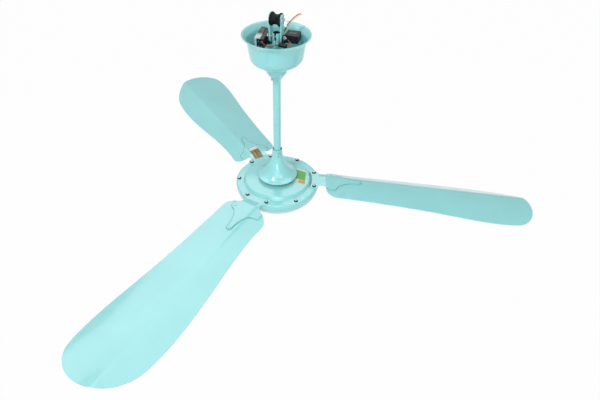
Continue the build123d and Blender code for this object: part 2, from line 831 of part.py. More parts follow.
# Motor shaft, stepped for the bearings and hollow down to the wire exit
with BuildPart() as motor_shaft:
    core_bottom = lower_bearing_bottom + lower_bearing_width
    with BuildSketch(Plane.XZ):
        with BuildLine():
            Polyline(
                (0, flange_z + shaft_bottom),
                (shaft_lower_r, flange_z + shaft_bottom),
                (shaft_lower_r, flange_z + core_bottom),
                (shaft_core_r, flange_z + core_bottom),
                (shaft_core_r, flange_z + upper_bearing_bottom),
                (shaft_r, flange_z + upper_bearing_bottom),
                (shaft_r, shaft_tip),
                (shaft_bore_r, shaft_tip),
                (shaft_bore_r, flange_z + shaft_bore_bottom),
                (0, flange_z + shaft_bore_bottom),
                close=True,
            )
        make_face()
    revolve(axis=Axis.Z)
    with BuildSketch(Plane(origin=(0, 0, flange_z + motor_lead_exit), z_dir=-slot_way)):
        Circle(motor_lead_r + winding_gap)
    extrude(amount=2 * shaft_core_r, mode=Mode.SUBTRACT)
motor_shaft.part.label = "motor_shaft"
export_step(motor_shaft.part, "parts/motor_shaft.step")


# Ball bearings: inner race on the shaft, outer race in its cover, balls between
bearings = (
    ("upper", shaft_r, upper_bearing_r, upper_bearing_bottom, upper_bearing_width),
    ("lower", shaft_lower_r, lower_bearing_r, lower_bearing_bottom, lower_bearing_width),
)
for name, seat_r, outer_r, bottom, width in bearings:
    bore_r = seat_r + fit_gap
    section = outer_r - bore_r
    middle_r = (outer_r + bore_r) / 2
    ball_r = section * ball_share
    middle_z = flange_z + bottom + width / 2
    for race, low_r, high_r in (
        ("inner", bore_r, bore_r + section * race_share),
        ("outer", outer_r - section * race_share, outer_r),
    ):
        with BuildPart() as bearing_race:
            with BuildSketch(Plane.XZ):
                with Locations(((low_r + high_r) / 2, middle_z)):
                    Rectangle(high_r - low_r, width)
                with Locations((middle_r, middle_z)):
                    Circle(ball_r + ball_gap, mode=Mode.SUBTRACT)
            revolve(axis=Axis.Z)
        bearing_race.part.label = f"{name}_bearing_{race}"
        export_step(bearing_race.part, f"parts/{name}_bearing_{race}.step")
    with BuildPart() as bearing_balls:
        with PolarLocations(middle_r, ball_count):
            with Locations((0, 0, middle_z)):
                Sphere(ball_r)
    bearing_balls.part.label = f"{name}_bearing_balls"
    export_step(bearing_balls.part, f"parts/{name}_bearing_balls.step")


# Stator core with open slots, and the winding that fills them
def slot_shape(gap):
    """One stator slot in plan, narrowed by a gap."""
    with BuildSketch() as shape:
        with Locations(((slot_inner_r + slot_outer_r) / 2, 0)):
            RectangleRounded(slot_outer_r - slot_inner_r - 2 * gap, slot_width - 2 * gap, winding_round)
    return shape.sketch


stator_top = stator_bottom + stator_height
with BuildPart() as stator_core:
    with BuildSketch(Plane.XY.offset(flange_z + stator_bottom)):
        Circle(stator_r)
        Circle(shaft_core_r + fit_gap, mode=Mode.SUBTRACT)
        with PolarLocations(0, stator_slots):
            add(slot_shape(0), mode=Mode.SUBTRACT)
            with Locations((slot_outer_r, 0)):
                Rectangle(stator_r, slot_mouth, align=(Align.MIN, Align.CENTER), mode=Mode.SUBTRACT)
    extrude(amount=stator_height)
stator_core.part.label = "stator_core"
export_step(stator_core.part, "parts/stator_core.step")

with BuildPart() as stator_winding:
    with BuildSketch(Plane.XY.offset(flange_z + stator_bottom - winding_height / 2)):
        with PolarLocations(0, stator_slots):
            add(slot_shape(winding_gap))
    extrude(amount=stator_height + winding_height)
    for head_z in (stator_bottom - winding_height, stator_top + winding_gap):
        with BuildSketch(Plane.XZ) as head_profile:
            with Locations((winding_inner_r, flange_z + head_z)):
                Rectangle(
                    winding_outer_r - winding_inner_r, winding_height - winding_gap,
                    align=(Align.MIN, Align.MIN),
                )
            fillet(head_profile.vertices(), winding_round)
        revolve(axis=Axis.Z)
stator_winding.part.label = "stator_winding"
export_step(stator_winding.part, "parts/stator_winding.step")

with BuildPart() as rotor_ring:
    with BuildSketch(Plane.XY.offset(flange_z + rotor_ring_bottom)):
        Circle(rotor_ring_r - fit_gap)
        Circle(stator_r + air_gap, mode=Mode.SUBTRACT)
    extrude(amount=rotor_ring_height)
rotor_ring.part.label = "rotor_ring"
export_step(rotor_ring.part, "parts/rotor_ring.step")


# Sheathed motor lead from the winding, through the shaft and up the rod
with BuildPart() as motor_lead:
    lead_offset = slot_way * motor_lead_rod_offset
    bore_offset = slot_way * motor_lead_shaft_offset
    lead_points = [
        -slot_way * (winding_inner_r - seat_gap) + Vector(0, 0, flange_z + motor_lead_exit),
        bore_offset + Vector(0, 0, flange_z + motor_lead_exit),
        bore_offset + Vector(0, 0, shaft_tip + seat_gap),
        lead_offset + Vector(0, 0, coupling_bolt_z - 2 * coupling_bolt_r),
        lead_offset + Vector(0, 0, white_route[0][2] - seat_gap),
    ]
    with BuildLine() as lead_path:
        FilletPolyline(*lead_points, radius=[motor_lead_bend, 2 * motor_lead_bend, 2 * motor_lead_bend])
    lead_line = lead_path.wires()[0]
    with BuildSketch(Plane(origin=lead_line @ 0, z_dir=lead_line % 0)):
        Circle(motor_lead_r)
    sweep(path=lead_line)
motor_lead.part.label = "motor_lead"
export_step(motor_lead.part, "parts/motor_lead.step")


# Top cover: flat flange, raised disc, thick rim for the screws and a boss for the bearing
bearing_top = upper_bearing_bottom + upper_bearing_width
dome_sag = cover_dome_rise - cover_step_rise
dome_r = (cover_dome_r ** 2 + dome_sag ** 2) / (2 * dome_sag)
boss_outer_r = upper_bearing_r + boss_wall
dome_middle_r = (boss_outer_r + cover_dome_r) / 2
dome_inner_r = cover_dome_r - cover_wall


def dome_height(r):
    """Height of the raised disc above the flange at a radius."""
    return cover_dome_rise - (dome_r - (dome_r ** 2 - r ** 2) ** 0.5)


with BuildPart() as top_cover:
    with BuildSketch(Plane.XZ):
        with BuildLine():
            Polyline(
                (cover_hole_r, flange_z + dome_height(cover_hole_r)),
                (cover_hole_r, flange_z + bearing_top + race_lip),
                (upper_bearing_r - race_lip, flange_z + bearing_top + race_lip),
                (upper_bearing_r - race_lip, flange_z + bearing_top),
                (upper_bearing_r, flange_z + bearing_top),
                (upper_bearing_r, flange_z + upper_bearing_bottom),
                (boss_outer_r, flange_z + upper_bearing_bottom),
                (boss_outer_r, flange_z + dome_height(boss_outer_r) - cover_wall),
            )
            ThreePointArc(
                (boss_outer_r, flange_z + dome_height(boss_outer_r) - cover_wall),
                (dome_middle_r, flange_z + dome_height(dome_middle_r) - cover_wall),
                (dome_inner_r, flange_z + dome_height(dome_inner_r) - cover_wall),
            )
            Polyline(
                (dome_inner_r, flange_z + dome_height(dome_inner_r) - cover_wall),
                (cover_step_r - cover_wall, flange_z - cover_wall),
                (rotor_ring_r, flange_z - cover_wall),
                (rotor_ring_r, flange_z - cover_skirt),
                (cover_r, flange_z - cover_skirt),
                (cover_r, flange_z - cover_edge_r),
            )
            JernArc((cover_r, flange_z - cover_edge_r), (0, 1), cover_edge_r, 90)
            Polyline(
                (cover_r - cover_edge_r, flange_z),
                (cover_step_r, flange_z),
                (cover_dome_r, flange_z + cover_step_rise),
            )
            ThreePointArc(
                (cover_dome_r, flange_z + cover_step_rise),
                (dome_middle_r, flange_z + dome_height(dome_middle_r)),
                (cover_hole_r, flange_z + dome_height(cover_hole_r)),
            )
        make_face()
    revolve(axis=Axis.Z)
    with BuildSketch(Plane.XY.offset(flange_z - cover_skirt)):
        for angle in screw_angles:
            with PolarLocations(screw_circle_r, 1, start_angle=angle):
                Circle(screw_r + screw_gap)
    extrude(amount=cover_skirt, mode=Mode.SUBTRACT)
top_cover.part.label = "top_cover"
export_step(top_cover.part, "parts/top_cover.step")


# Lower cover, a cast bowl that holds the rotor ring and the lower bearing
with BuildPart() as bottom_cover:
    bowl_bottom = flange_z - cover_skirt - lower_cover_height
    boss_top = flange_z + lower_bearing_bottom + lower_bearing_width
    ledge_z = flange_z + rotor_ring_bottom
    cavity_floor = bowl_bottom + lower_cover_wall
    with BuildSketch(Plane.XZ):
        with BuildLine():
            FilletPolyline(
                (0, bowl_bottom),
                (lower_cover_flat_r, bowl_bottom),
                (lower_cover_foot_r, bowl_bottom + bowl_rise[0]),
                (lower_cover_floor_r, bowl_bottom + bowl_rise[1]),
                (lower_cover_waist_r, bowl_bottom + bowl_rise[2]),
                (cover_r, bowl_bottom + bowl_rise[3]),
                (cover_r, flange_z - cover_skirt),
                radius=bowl_fillets,
            )
            Polyline(
                (cover_r, flange_z - cover_skirt),
                (rotor_ring_r, flange_z - cover_skirt),
                (rotor_ring_r, ledge_z),
                (rotor_ring_r - cover_ledge, ledge_z),
                (rotor_ring_r - cover_ledge, cavity_floor + bowl_rise[1] / 2),
                (lower_cover_foot_r, cavity_floor + bowl_rise[0]),
                (lower_bearing_r + boss_wall, cavity_floor),
                (lower_bearing_r + boss_wall, boss_top),
                (lower_bearing_r, boss_top),
                (lower_bearing_r, flange_z + lower_bearing_bottom),
                (lower_bearing_r - race_lip, flange_z + lower_bearing_bottom),
                (lower_bearing_r - race_lip, flange_z + shaft_bottom - race_lip / 3),
                (0, flange_z + shaft_bottom - race_lip / 3),
                (0, bowl_bottom),
            )
        make_face()
    revolve(axis=Axis.Z)
    with BuildSketch(Plane.XY.offset(flange_z - cover_skirt)):
        for angle in screw_angles:
            with PolarLocations(screw_circle_r, 1, start_angle=angle):
                Circle(screw_r + screw_gap)
    extrude(amount=-screw_length, mode=Mode.SUBTRACT)
bottom_cover.part.label = "bottom_cover"
export_step(bottom_cover.part, "parts/bottom_cover.step")


# Blades and irons share one section: an arch, a crease and a folded strip
def pressed_section(plane, pitch, low, high, front, back, arch_r, crease_r, fold):
    """Closed section between two heights over a pressed face: arch, crease and folded strip."""
    lean = radians(pitch)
    normal = Vector(sin(lean), cos(lean))
    corner = Vector(blade_crease, 0)
    with BuildSketch(plane) as section:
        with BuildLine():
            ends = []
            for height in (low, high):
                start = corner + normal * height
                arch = JernArc(start, (-cos(lean), sin(lean)), arch_r + height, degrees(front / arch_r))
                crease = JernArc(start, (cos(lean), -sin(lean)), crease_r + height, -fold)
                strip = Line(crease @ 1, crease @ 1 + (crease % 1) * back)
                ends.append((arch @ 1, strip @ 1))
            Line(ends[0][0], ends[1][0])
            Line(ends[0][1], ends[1][1])
        make_face()
    return section.sketch.face()


def blade_section(plane, pitch, low, high, front, back):
    """Section that follows the blade's own press form."""
    return pressed_section(
        plane, pitch, low, high, front, back, blade_camber_r, blade_crease_r, blade_fold,
    )


def flat_section(plane, low, high, front, back):
    """Section of the same layout, pressed almost flat."""
    crease_r = blade_crease_r * blade_fold / flat_fold
    return pressed_section(plane, 0, low, high, front, back, flat_r, crease_r, flat_fold)


def blade_pitch(reach):
    """Tilt of the arch at a distance from the motor axis."""
    share = (reach - blade_hinge_r) / (blade_tip_r - blade_hinge_r)
    return blade_root_pitch + (blade_tip_pitch - blade_root_pitch) * share


for number in range(blade_count):
    angle = radians(first_blade_angle + number * 360 / blade_count)
    droop = radians(blade_droops[number])
    outward = Vector(cos(angle), sin(angle), 0)
    sideways = Vector(-sin(angle), cos(angle), 0)
    blade_axis = outward * cos(droop) - Vector(0, 0, sin(droop))

    def reach_plane(reach):
        """Plane across the blade at a distance from the motor axis."""
        drop = (reach - blade_hinge_r) * tan(droop)
        origin = outward * reach + Vector(0, 0, flange_z + blade_lift - drop)
        return Plane(origin=origin, x_dir=sideways, z_dir=blade_axis)

    def rivet_plane(place):
        """Plane on the blade's top face at a rivet, facing away from the blade."""
        reach = blade_root_r + place[0]
        plane = reach_plane(reach)
        lean = radians(blade_pitch(reach))
        step = place[1] - blade_crease
        if step > 0:
            fold = lean + radians(blade_fold)
            bend = blade_crease_r * tan(radians(blade_fold / 2))
            height = -bend * tan(lean) - (step - bend) * tan(fold)
            tilt = fold
        else:
            tilt = lean + step / blade_camber_r
            height = -step * tan(lean) - step ** 2 / (2 * blade_camber_r)
        origin = plane.from_local_coords(Vector(place[1], height, 0))
        normal = plane.from_local_coords(Vector(place[1] + sin(tilt), height + cos(tilt), 0)) - origin
        return Plane(origin=origin, z_dir=normal)

    plan = Plane(origin=(0, 0, flange_z + cover_step_rise), x_dir=outward, z_dir=(0, 0, 1))
    front_reach = 2 * blade_front_root
    tip_curve = [(blade_tip_r - back, side) for back, side in blade_tip_curve]
    front_edge = [(blade_root_r + reach, side) for reach, side in blade_front_edge]
    back_edge = (blade_root_r + blade_back_edge[0], blade_back_edge[1])

    with BuildPart() as blade:
        blade_ends = []
        for reach in (blade_root_r - iron_thickness, blade_tip_r + blade_root_corner):
            blade_ends.append(blade_section(
                reach_plane(reach), blade_pitch(reach), -blade_thickness, 0, front_reach, blade_back_reach,
            ))
        loft(blade_ends, ruled=True)
        with BuildSketch(plan):
            with BuildLine():
                root_side = Line(
                    (blade_root_r, blade_back_root - blade_root_corner),
                    (blade_root_r, -blade_front_root + blade_root_corner),
                )
                front_corner = JernArc(root_side @ 1, (0, -1), blade_root_corner, 90)
                back_corner_start = (blade_root_r + blade_root_corner, blade_back_root)
                Spline(front_corner @ 1, *front_edge, *tip_curve, back_edge, back_corner_start)
                JernArc(back_corner_start, (-1, 0), blade_root_corner, 90)
            make_face()
        extrude(amount=blade_hinge_r, both=True, mode=Mode.INTERSECT)
        for place in rivet_places:
            with BuildSketch(rivet_plane(place)):
                Circle(rivet_r + hole_gap)
            extrude(amount=2 * blade_thickness, both=True, mode=Mode.SUBTRACT)
    blade.part.label = f"blade_{number + 1}"
    export_step(blade.part, f"parts/blade_{number + 1}.step")

    with BuildPart() as blade_iron:
        pad_start = blade_root_r - iron_thickness / 2
        iron_low = iron_gap
        iron_high = iron_gap + iron_thickness
        bend_place = outward * iron_bend_r + Vector(0, 0, flange_z)
        flat_plane = Plane(origin=bend_place, x_dir=sideways, z_dir=outward)
        with BuildSketch(flat_plane):
            Rectangle(2 * blade_front_root, iron_thickness, align=(Align.CENTER, Align.MIN))
        extrude(amount=-(iron_bend_r - iron_inner_r / 2))
        pad_ends = []
        for reach in (pad_start, iron_tip_r + iron_tip_lobe):
            pad_ends.append(blade_section(
                reach_plane(reach), blade_pitch(reach), iron_low, iron_high,
                iron_front_reach, iron_back_reach,
            ))
        flat_end = flat_section(flat_plane, 0, iron_thickness, iron_front_reach, iron_back_reach)
        loft([flat_end, pad_ends[0]], ruled=True)
        loft(pad_ends, ruled=True)
        with BuildSketch(plan) as iron_plan:
            with BuildLine():
                inner_reach = (iron_inner_r ** 2 - iron_root_half ** 2) ** 0.5
                tip_centre = iron_tip_r - iron_tip_lobe
                ThreePointArc(
                    (inner_reach, -iron_root_half), (iron_inner_r, 0), (inner_reach, iron_root_half),
                )
                for side in (-1, 1):
                    FilletPolyline(
                        (inner_reach, side * iron_root_half),
                        (blade_root_r - iron_root_end, side * iron_root_half),
                        (blade_root_r - iron_neck[0], side * iron_neck_half),
                        (blade_root_r - iron_neck[1], side * iron_neck_half),
                        (blade_root_r + iron_wing[0], side * iron_wing_half),
                        (blade_root_r + iron_wing[1], side * iron_wing_half),
                        (blade_root_r + iron_flank[0][0], side * iron_flank[0][1]),
                        radius=[iron_corner, iron_corner, 2 * iron_corner, iron_corner, iron_corner],
                    )
                    ThreePointArc(
                        (blade_root_r + iron_flank[0][0], side * iron_flank[0][1]),
                        (blade_root_r + iron_flank[1][0], side * iron_flank[1][1]),
                        (tip_centre, side * iron_tip_lobe),
                    )
                ThreePointArc(
                    (tip_centre, -iron_tip_lobe), (iron_tip_r, 0), (tip_centre, iron_tip_lobe),
                )
            make_face()
            fillet(iron_plan.vertices().group_by(Axis.X)[0], iron_corner)
        extrude(amount=iron_root_half, both=True, mode=Mode.INTERSECT)
        with BuildSketch(Plane(origin=(0, 0, flange_z), x_dir=outward, z_dir=(0, 0, 1))):
            for screw_angle in (-pair_angle, pair_angle):
                with PolarLocations(screw_circle_r, 1, start_angle=screw_angle):
                    Circle(screw_r + screw_gap)
        extrude(amount=2 * iron_thickness, mode=Mode.SUBTRACT)
        for place in rivet_places:
            with BuildSketch(rivet_plane(place)):
                Circle(rivet_r + hole_gap)
            extrude(amount=3 * iron_thickness, both=True, mode=Mode.SUBTRACT)
    blade_iron.part.label = f"blade_iron_{number + 1}"
    export_step(blade_iron.part, f"parts/blade_iron_{number + 1}.step")

    with BuildPart() as blade_rivets:
        for place in rivet_places:
            seat = rivet_plane(place)
            shank = blade_thickness + iron_gap + iron_thickness
            with BuildSketch(seat.offset(-blade_thickness - fit_gap)):
                Circle(rivet_r)
            extrude(amount=shank + 2 * fit_gap)
            with BuildSketch(seat.offset(iron_gap + iron_thickness + fit_gap)):
                Circle(rivet_head_r)
            extrude(amount=rivet_head_height)
            with BuildSketch(seat.offset(-blade_thickness - fit_gap)):
                Circle(rivet_head_r)
            extrude(amount=-rivet_head_height)
    blade_rivets.part.label = f"blade_rivets_{number + 1}"
    export_step(blade_rivets.part, f"parts/blade_rivets_{number + 1}.step")


# Cover screws on their washers, a pair at each iron and one between
with BuildPart() as screw_washers:
    for place, angle in enumerate(screw_angles):
        seat_height = iron_thickness if place % 3 < 2 else 0
        with BuildSketch(Plane.XY.offset(flange_z + seat_height)):
            with PolarLocations(screw_circle_r, 1, start_angle=angle):
                Circle(washer_r)
                Circle(screw_r + screw_gap, mode=Mode.SUBTRACT)
        extrude(amount=washer_thickness)
screw_washers.part.label = "screw_washers"
export_step(screw_washers.part, "parts/screw_washers.step")

with BuildPart() as cover_screws:
    for place, angle in enumerate(screw_angles):
        seat_height = washer_thickness + (iron_thickness if place % 3 < 2 else 0)
        with BuildSketch(Plane.XY.offset(flange_z + seat_height)):
            with PolarLocations(screw_circle_r, 1, start_angle=angle):
                Circle(screw_head_r)
        extrude(amount=screw_head_height)
        with BuildSketch(Plane.XY.offset(flange_z + seat_height)):
            with PolarLocations(screw_circle_r, 1, start_angle=angle):
                Circle(screw_r)
        extrude(amount=-screw_length)
    head_tops = cover_screws.faces().filter_by(Axis.Z).group_by(Axis.Z)
    fillet([edge for tops in head_tops[-2:] for edge in tops.edges()], screw_head_height / 2)
cover_screws.part.label = "cover_screws"
export_step(cover_screws.part, "parts/cover_screws.step")
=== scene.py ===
"""Ceiling fan scene: camera, supply lead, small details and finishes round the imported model."""
from math import cos, pi, radians, sin

import bmesh
import bpy
from mathutils import Matrix, Vector
from mathutils.bvhtree import BVHTree

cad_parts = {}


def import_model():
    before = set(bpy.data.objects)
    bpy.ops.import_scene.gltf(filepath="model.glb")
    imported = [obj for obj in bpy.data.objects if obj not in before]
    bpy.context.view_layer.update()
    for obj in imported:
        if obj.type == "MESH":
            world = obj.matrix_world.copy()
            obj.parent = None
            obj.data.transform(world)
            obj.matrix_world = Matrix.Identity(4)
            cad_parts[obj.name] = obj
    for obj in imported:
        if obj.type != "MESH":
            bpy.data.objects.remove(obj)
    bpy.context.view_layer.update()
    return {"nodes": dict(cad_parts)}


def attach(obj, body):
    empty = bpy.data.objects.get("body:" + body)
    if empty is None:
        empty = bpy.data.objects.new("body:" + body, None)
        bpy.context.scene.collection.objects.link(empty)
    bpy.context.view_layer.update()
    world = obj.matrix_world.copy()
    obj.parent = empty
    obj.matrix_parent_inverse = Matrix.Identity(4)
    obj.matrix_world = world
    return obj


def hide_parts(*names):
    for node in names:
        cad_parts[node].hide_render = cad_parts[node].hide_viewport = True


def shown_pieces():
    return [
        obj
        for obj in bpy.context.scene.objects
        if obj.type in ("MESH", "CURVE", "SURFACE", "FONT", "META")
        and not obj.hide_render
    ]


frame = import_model()
down = Vector((0, 0, -1))

# Camera at the photograph's place, with its angles in radians
camera_place = (0.0, -1.1804, 0.4949)
camera_yaw = 0.05331
camera_pitch = 0.70595
camera_roll = 0.02682
camera_lens = 33.0
camera_sensor = 36.0
camera_reach = 100.0

# Supply lead, with each core's route from the bush to the bare end
lead_diameter = 0.0022
lead_curve_steps = 10
lead_round_steps = 6
brown_route = [
    (0.0132, 0.0141, -0.04015),
    (0.0144, 0.0142, -0.0320),
    (0.0176, 0.0148, -0.0240),
    (0.0223, 0.0156, -0.0145),
    (0.0290, 0.0168, -0.0030),
    (0.0380, 0.0188, 0.0066),
    (0.0470, 0.0218, 0.0124),
    (0.0508, 0.0235, 0.0136),
]
cream_route = [
    (0.0157, 0.0135, -0.04015),
    (0.0170, 0.0136, -0.0330),
    (0.0201, 0.0142, -0.0255),
    (0.0249, 0.0150, -0.0160),
    (0.0317, 0.0162, -0.0045),
    (0.0405, 0.0182, 0.0051),
    (0.0495, 0.0212, 0.0109),
    (0.0528, 0.0229, 0.0121),
]

# Bare strands at the ends of the cores: six round one, with angles in radians
strand_count = 7
strand_radius = 0.0002
strand_sides = 6
strand_steps = 8
strand_ring_r = 0.00045
strand_reach = 0.0052
strand_reach_change = 0.0007
strand_reach_phase = 3.1
strand_overlap = 0.0012
strand_turn = 2.2
brown_strand_start = 0.4
cream_strand_start = 1.7
strand_flare = 0.25
strand_flare_phase = 2.3

# Crimped sleeve on the brown core
crimp_r = 0.00172
crimp_waist = 0.00022
crimp_ripple = 0.00012
crimp_end = 0.0006
crimp_grip = 0.0066
crimp_steps = 16
crimp_route_step = 2
crimp_offset = 0.001

# Cover screws on the motor's flange, with angles in degrees
flange_z = -0.437
iron_thickness = 0.0025
washer_thickness = 0.001
first_blade_angle = -122.85
blade_step = 120
pair_angle = 16.43
single_angle = blade_step / 2
screw_circle_r = 0.104
screw_shank_r = 0.0024
screw_length = 0.016
screw_head_r = 0.004
screw_head_height = 0.0032
screw_rim_height = 0.0008
screw_flat_share = 0.35
screw_dome_steps = 8
recess_size = (0.0042, 0.0009, 0.0034)
recess_turn = 0.7
turned_sides = 32

# Hairline of painted shade along the upper outline of each iron, where a fold is in radians
seam_radius = 0.0004
seam_sides = 8
seam_reach = 0.0045
seam_fold = 0.87
seam_level = 0.6
seam_merge = 1e-6

# Stickers, with their corners anticlockwise in plan
decal_steps = 28
decal_ray_z = flange_z + 0.05
disc_sticker_corners = [(0.0383, -0.0254), (0.0735, -0.0394), (0.0800, 0.0226), (0.0539, 0.0346)]
iron_sticker_corners = [(-0.0804, 0.1257), (-0.0618, 0.0880), (-0.0387, 0.1004), (-0.0571, 0.1431)]
paper_tag_corners = [(-0.0781, 0.1274), (-0.0571, 0.1431), (-0.0642, 0.1524), (-0.0817, 0.1393)]
disc_sticker_lift = 0.0002
iron_sticker_lift = 0.0003
sticker_low_band = 0.24
sticker_border_gap = 0.455

smooth_angle = 60
screw_smooth_angle = 40

# Places that finishes follow, with angles in degrees
# Radii within which the enamel gets painted shade in near black: the rod's inner wall, and the inner end
# of iron 2
rod_shade_r = 0.0086
iron_shade_r = 0.0943
hanger_turn = -24.0
capacitor_top = (0.0377, 0.0125, -0.0264)
capacitor_turn = -16.5
panel_depth = 0.0003
panel_middle = {"X": -0.001, "Y": 0.0015}
panel_half = {"X": 0.0088, "Y": 0.0055}
cover_corner = (-0.0445, -0.011, -0.052)
cover_turn = -18.0
cover_streak_start = 0.012
cover_streak_full = 0.022
cover_streak_side = -0.0045

# Middle range of a noise value, over which tones and gloss change
noise_low = 0.3
noise_high = 0.7

# Stage
floor_z = -2.6
floor_half = 30.0
floor_glow_share = 0.97
world_strength = 0.60
fan_middle = (0, 0, -0.4)


def scene_object(name, data):
    """New object in the scene."""
    made = bpy.data.objects.new(name, data)
    bpy.context.collection.objects.link(made)
    return made


def camera():
    """Camera at the photograph's place and tilt."""
    forward = Vector((
        sin(camera_yaw) * cos(camera_pitch),
        cos(camera_yaw) * cos(camera_pitch),
        -sin(camera_pitch),
    ))
    level = Vector((cos(camera_yaw), -sin(camera_yaw), 0))
    upright = level.cross(forward)
    right = level * cos(camera_roll) + upright * sin(camera_roll)
    up = upright * cos(camera_roll) - level * sin(camera_roll)
    data = bpy.data.cameras.new("camera")
    data.sensor_width = camera_sensor
    data.lens = camera_lens
    data.clip_end = camera_reach
    holder = scene_object("camera", data)
    turn = Matrix((right, up, -forward)).transposed().to_4x4()
    holder.matrix_world = Matrix.Translation(camera_place) @ turn
    bpy.context.scene.camera = holder


def lead_core(name, route, node):
    """One core of the supply lead along its route, in place of its CAD node."""
    data = bpy.data.curves.new(name, "CURVE")
    data.dimensions = "3D"
    data.resolution_u = lead_curve_steps
    data.bevel_depth = 1.0
    data.bevel_resolution = lead_round_steps
    data.use_fill_caps = True
    spline = data.splines.new("NURBS")
    spline.points.add(len(route) - 1)
    for point, place in zip(spline.points, route):
        point.co = (*place, 1)
        point.radius = lead_diameter / 2
    spline.order_u = 3
    spline.use_endpoint_u = True
    core = scene_object(name, data)
    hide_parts(node)
    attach(core, "hanger")
    return core


def mesh_object(name, maker):
    """Object whose mesh is made by a function that fills a bmesh."""
    shape = bmesh.new()
    maker(shape)
    data = bpy.data.meshes.new(name)
    shape.to_mesh(data)
    shape.free()
    return scene_object(name, data)


def mesh_piece(name, maker, body):
    """Mesh object that rides on a body."""
    piece = mesh_object(name, maker)
    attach(piece, body)
    return piece


def circle(sides):
    """Cosine and sine at even steps round a circle."""
    return [(cos(2 * pi * k / sides), sin(2 * pi * k / sides)) for k in range(sides)]


def tube(shape, path, radius, sides):
    """Round tube along a list of points, closed at both ends."""
    rings = []
    side = None
    for number, point in enumerate(path):
        ahead = path[min(number + 1, len(path) - 1)]
        back = path[max(number - 1, 0)]
        way = (ahead - back).normalized()
        if side is None:
            side = way.orthogonal().normalized()
        else:
            side = (side - way * side.dot(way)).normalized()
        third = way.cross(side)
        rings.append([shape.verts.new(point + radius * (side * c + third * s)) for c, s in circle(sides)])
    for low, high in zip(rings, rings[1:]):
        for k in range(sides):
            after = (k + 1) % sides
            shape.faces.new((low[k], low[after], high[after], high[k]))
    shape.faces.new(list(reversed(rings[0])))
    shape.faces.new(rings[-1])


def lathe(shape, profile, turn):
    """Closed turned form from (radius, height) points, placed by a matrix."""
    rings = []
    for radius, height in profile:
        spots = circle(turned_sides) if radius else [(0, 0)]
        rings.append([shape.verts.new(turn @ Vector((radius * c, radius * s, height))) for c, s in spots])
    for low, high in zip(rings, rings[1:]):
        for k in range(turned_sides):
            corners = []
            for ring, place in ((low, k), (low, k + 1), (high, k + 1), (high, k)):
                corner = ring[place % len(ring)]
                if corner not in corners:
                    corners.append(corner)
            if len(corners) > 2:
                shape.faces.new(corners)


def bare_strands(route, start):
    """Maker of the bare copper strands at the end of a core."""
    end = Vector(route[-1])
    way = (end - Vector(route[-2])).normalized()
    side = way.orthogonal().normalized()
    third = way.cross(side)

    def maker(shape):
        for strand in range(strand_count):
            ring_r = 0.0 if strand == strand_count - 1 else strand_ring_r
            reach = strand_reach + strand_reach_change * sin(strand_reach_phase * strand + start)
            path = []
            for step in range(strand_steps + 1):
                share = step / strand_steps
                turn = start + strand * pi / 3 + strand_turn * share
                flare = ring_r * (1 + strand_flare * share * (1 + sin(strand_flare_phase * strand)))
                away = flare * (side * cos(turn) + third * sin(turn))
                path.append(end + way * (reach * share - strand_overlap) + away)
            tube(shape, path, strand_radius, strand_sides)

    return maker


def crimped_sleeve(shape):
    """Short crimped sleeve round the brown core, flattened at its middle."""
    low, high = [Vector(place) for place in brown_route[crimp_route_step:crimp_route_step + 2]]
    way = (high - low).normalized()
    turn = way.to_track_quat("Z", "Y").to_matrix().to_4x4()
    profile = [(0, 0.0)]
    for step in range(crimp_steps + 1):
        share = step / crimp_steps
        waist = crimp_waist * sin(pi * share) ** 2 + crimp_ripple * sin(3 * pi * share) ** 2
        profile.append((crimp_r - waist, crimp_end + crimp_grip * share))
    profile.append((0, crimp_grip + 2 * crimp_end))
    lathe(shape, profile, Matrix.Translation(low + way * crimp_offset) @ turn)


def cover_screw_places():
    """Middle of each cover screw's seat: a pair on each iron, and one between the irons."""
    on_flange = flange_z + washer_thickness
    on_iron = flange_z + iron_thickness + washer_thickness
    places = []
    for blade in range(3):
        middle = first_blade_angle + blade_step * blade
        for away, seat in ((-pair_angle, on_iron), (pair_angle, on_iron), (single_angle, on_flange)):
            angle = radians(middle + away)
            places.append(Vector((screw_circle_r * cos(angle), screw_circle_r * sin(angle), seat)))
    return places


def pan_screws(shape):
    """Pan head cover screws with a shank each."""
    head = [
        (0, -screw_length),
        (screw_shank_r, -screw_length),
        (screw_shank_r, 0),
        (screw_head_r, 0),
        (screw_head_r, screw_rim_height),
    ]
    for step in range(1, screw_dome_steps + 1):
        bend = step / screw_dome_steps * pi / 2
        head.append((
            screw_head_r * (screw_flat_share + (1 - screw_flat_share) * cos(bend)),
            screw_rim_height + (screw_head_height - screw_rim_height) * sin(bend),
        ))
    head.append((0, screw_head_height))
    for place in cover_screw_places():
        lathe(shape, head, Matrix.Translation(place))


def cross_cutters(shape):
    """Cross recess forms that are cut out of the cover screws."""
    size = Matrix.Diagonal((*recess_size, 1))
    for number, place in enumerate(cover_screw_places()):
        lift = Matrix.Translation(place + Vector((0, 0, screw_head_height)))
        for quarter in (0, pi / 2):
            turn = Matrix.Rotation(number * recess_turn + quarter, 4, "Z")
            bmesh.ops.create_cube(shape, size=1, matrix=lift @ turn @ size)


def cut(piece, cutter):
    """Cuts one mesh out of another and removes the cutter."""
    change = piece.modifiers.new("cut", "BOOLEAN")
    change.operation = "DIFFERENCE"
    change.solver = "EXACT"
    change.use_self = True
    change.object = cutter
    bpy.context.view_layer.update()
    graph = bpy.context.evaluated_depsgraph_get()
    data = bpy.data.meshes.new_from_object(piece.evaluated_get(graph))
    data.materials.clear()
    piece.modifiers.clear()
    piece.data = data
    bpy.data.objects.remove(cutter)


def smooth(piece, angle=smooth_angle):
    """Smooth shading below an angle between faces."""
    data = piece.data
    for face in data.polygons:
        face.use_smooth = True
    data.set_sharp_from_angle(angle=radians(angle))


